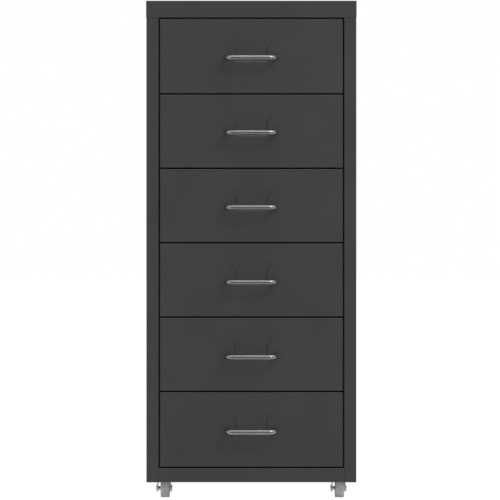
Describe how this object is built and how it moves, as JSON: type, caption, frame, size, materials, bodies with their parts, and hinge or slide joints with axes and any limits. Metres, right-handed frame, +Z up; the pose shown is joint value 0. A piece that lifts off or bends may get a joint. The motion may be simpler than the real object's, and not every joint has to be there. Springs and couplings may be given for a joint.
{
  "type": "drawer cabinet",
  "caption": "Narrow sheet steel drawer cabinet with bow handles and pressed label places, on small swivel castors.",
  "frame": {"origin": "on the floor, under the middle of the object's bounding box, handles included", "axes": "+Z up, +X to the right seen from the front, -Y out of the drawer fronts"},
  "size_m": [0.28, 0.4382, 0.6651],
  "materials": {
    "dark_paint": "matt powder coat with a fine texture",
    "bright_rod": "polished nickel or chrome plate",
    "zinc_plate": "bright zinc plate",
    "zinc_fixings": "zinc plated fixings",
    "wheel_plastic": "satin grey nylon"
  },
  "bodies": {
    "cabinet": {"top_cover": "dark_paint", "left_side_panel": "dark_paint", "right_side_panel": "dark_paint", "back_panel": "dark_paint", "back_rivets": "dark_paint", "bottom_rail": "dark_paint", "bottom_panel": "dark_paint", "left_runner_frame": "dark_paint", "right_runner_frame": "dark_paint", "castor_king_pins": "zinc_plate", "castor_balls": "zinc_fixings", "castor_screws": "zinc_fixings", "castor_nuts": "zinc_fixings", "castor_plate_front_left": "zinc_plate", "castor_plate_front_right": "zinc_plate", "castor_plate_rear_left": "zinc_plate", "castor_plate_rear_right": "zinc_plate"},
    "drawer_1": {"drawer_front_1": "dark_paint", "drawer_tray_1": "dark_paint", "handle_1": "bright_rod", "handle_screws_1": "zinc_fixings"},
    "drawer_2": {"drawer_front_2": "dark_paint", "drawer_tray_2": "dark_paint", "handle_2": "bright_rod", "handle_screws_2": "zinc_fixings"},
    "drawer_3": {"drawer_front_3": "dark_paint", "drawer_tray_3": "dark_paint", "handle_3": "bright_rod", "handle_screws_3": "zinc_fixings"},
    "drawer_4": {"drawer_front_4": "dark_paint", "drawer_tray_4": "dark_paint", "handle_4": "bright_rod", "handle_screws_4": "zinc_fixings"},
    "drawer_5": {"drawer_front_5": "dark_paint", "drawer_tray_5": "dark_paint", "handle_5": "bright_rod", "handle_screws_5": "zinc_fixings"},
    "drawer_6": {"drawer_front_6": "dark_paint", "drawer_tray_6": "dark_paint", "handle_6": "bright_rod", "handle_screws_6": "zinc_fixings"},
    "swivel_front_left": {"castor_fork_front_left": "zinc_plate", "castor_axle_front_left": "zinc_plate"},
    "roller_front_left": {"castor_wheel_front_left": "wheel_plastic"},
    "swivel_front_right": {"castor_fork_front_right": "zinc_plate", "castor_axle_front_right": "zinc_plate"},
    "roller_front_right": {"castor_wheel_front_right": "wheel_plastic"},
    "swivel_rear_left": {"castor_fork_rear_left": "zinc_plate", "castor_axle_rear_left": "zinc_plate"},
    "roller_rear_left": {"castor_wheel_rear_left": "wheel_plastic"},
    "swivel_rear_right": {"castor_fork_rear_right": "zinc_plate", "castor_axle_rear_right": "zinc_plate"},
    "roller_rear_right": {"castor_wheel_rear_right": "wheel_plastic"}
  },
  "joints": [
    {"name": "drawer_1_slide", "type": "slide", "parent": "cabinet", "child": "drawer_1", "axis": [0, -1, 0], "range_m": [0, 0.31]},
    {"name": "drawer_2_slide", "type": "slide", "parent": "cabinet", "child": "drawer_2", "axis": [0, -1, 0], "range_m": [0, 0.31]},
    {"name": "drawer_3_slide", "type": "slide", "parent": "cabinet", "child": "drawer_3", "axis": [0, -1, 0], "range_m": [0, 0.31]},
    {"name": "drawer_4_slide", "type": "slide", "parent": "cabinet", "child": "drawer_4", "axis": [0, -1, 0], "range_m": [0, 0.31]},
    {"name": "drawer_5_slide", "type": "slide", "parent": "cabinet", "child": "drawer_5", "axis": [0, -1, 0], "range_m": [0, 0.31]},
    {"name": "drawer_6_slide", "type": "slide", "parent": "cabinet", "child": "drawer_6", "axis": [0, -1, 0], "range_m": [0, 0.31]},
    {"name": "castor_front_left_swivel", "type": "hinge", "parent": "cabinet", "child": "swivel_front_left", "pos_m": [-0.1175, -0.1461, 0.027], "axis": [0, 0, 1], "continuous": true},
    {"name": "castor_front_left_roll", "type": "hinge", "parent": "swivel_front_left", "child": "roller_front_left", "pos_m": [-0.1175, -0.1371, 0.0125], "axis": [1, 0, 0], "continuous": true},
    {"name": "castor_front_right_swivel", "type": "hinge", "parent": "cabinet", "child": "swivel_front_right", "pos_m": [0.1175, -0.1461, 0.027], "axis": [0, 0, 1], "continuous": true},
    {"name": "castor_front_right_roll", "type": "hinge", "parent": "swivel_front_right", "child": "roller_front_right", "pos_m": [0.1175, -0.1371, 0.0125], "axis": [1, 0, 0], "continuous": true},
    {"name": "castor_rear_left_swivel", "type": "hinge", "parent": "cabinet", "child": "swivel_rear_left", "pos_m": [-0.1175, 0.1732, 0.027], "axis": [0, 0, 1], "continuous": true},
    {"name": "castor_rear_left_roll", "type": "hinge", "parent": "swivel_rear_left", "child": "roller_rear_left", "pos_m": [-0.1175, 0.1822, 0.0125], "axis": [1, 0, 0], "continuous": true},
    {"name": "castor_rear_right_swivel", "type": "hinge", "parent": "cabinet", "child": "swivel_rear_right", "pos_m": [0.1175, 0.1732, 0.027], "axis": [0, 0, 1], "continuous": true},
    {"name": "castor_rear_right_roll", "type": "hinge", "parent": "swivel_rear_right", "child": "roller_rear_right", "pos_m": [0.1175, 0.1822, 0.0125], "axis": [1, 0, 0], "continuous": true}
  ]
}
